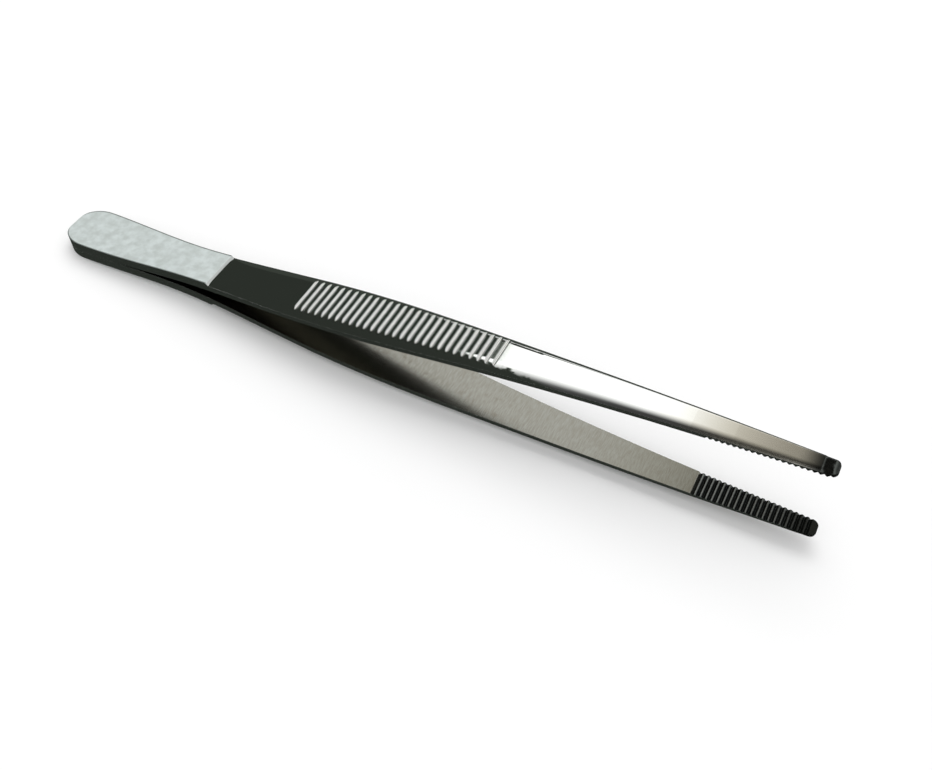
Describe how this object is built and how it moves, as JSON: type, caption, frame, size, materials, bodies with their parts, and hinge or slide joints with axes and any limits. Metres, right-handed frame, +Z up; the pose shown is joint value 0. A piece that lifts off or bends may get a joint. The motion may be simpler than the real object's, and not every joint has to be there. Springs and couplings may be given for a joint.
{
  "type": "thumb forceps",
  "caption": "Sprung steel thumb forceps: two bowed blades joined at a flat heel, with grooved finger grips and cross-cut jaws.",
  "frame": {"origin": "middle of the footprint, on the table that the forceps lie on", "axes": "+X from the heel to the tips, +Z up from the table, Y across the blades"},
  "size_m": [0.1504, 0.0106, 0.0206],
  "materials": {
    "blade_steel": "polished outside with satin heel and satin inner faces"
  },
  "bodies": {
    "root": {"upper_blade": "blade_steel", "lower_blade": "blade_steel"}
  },
  "joints": []
}
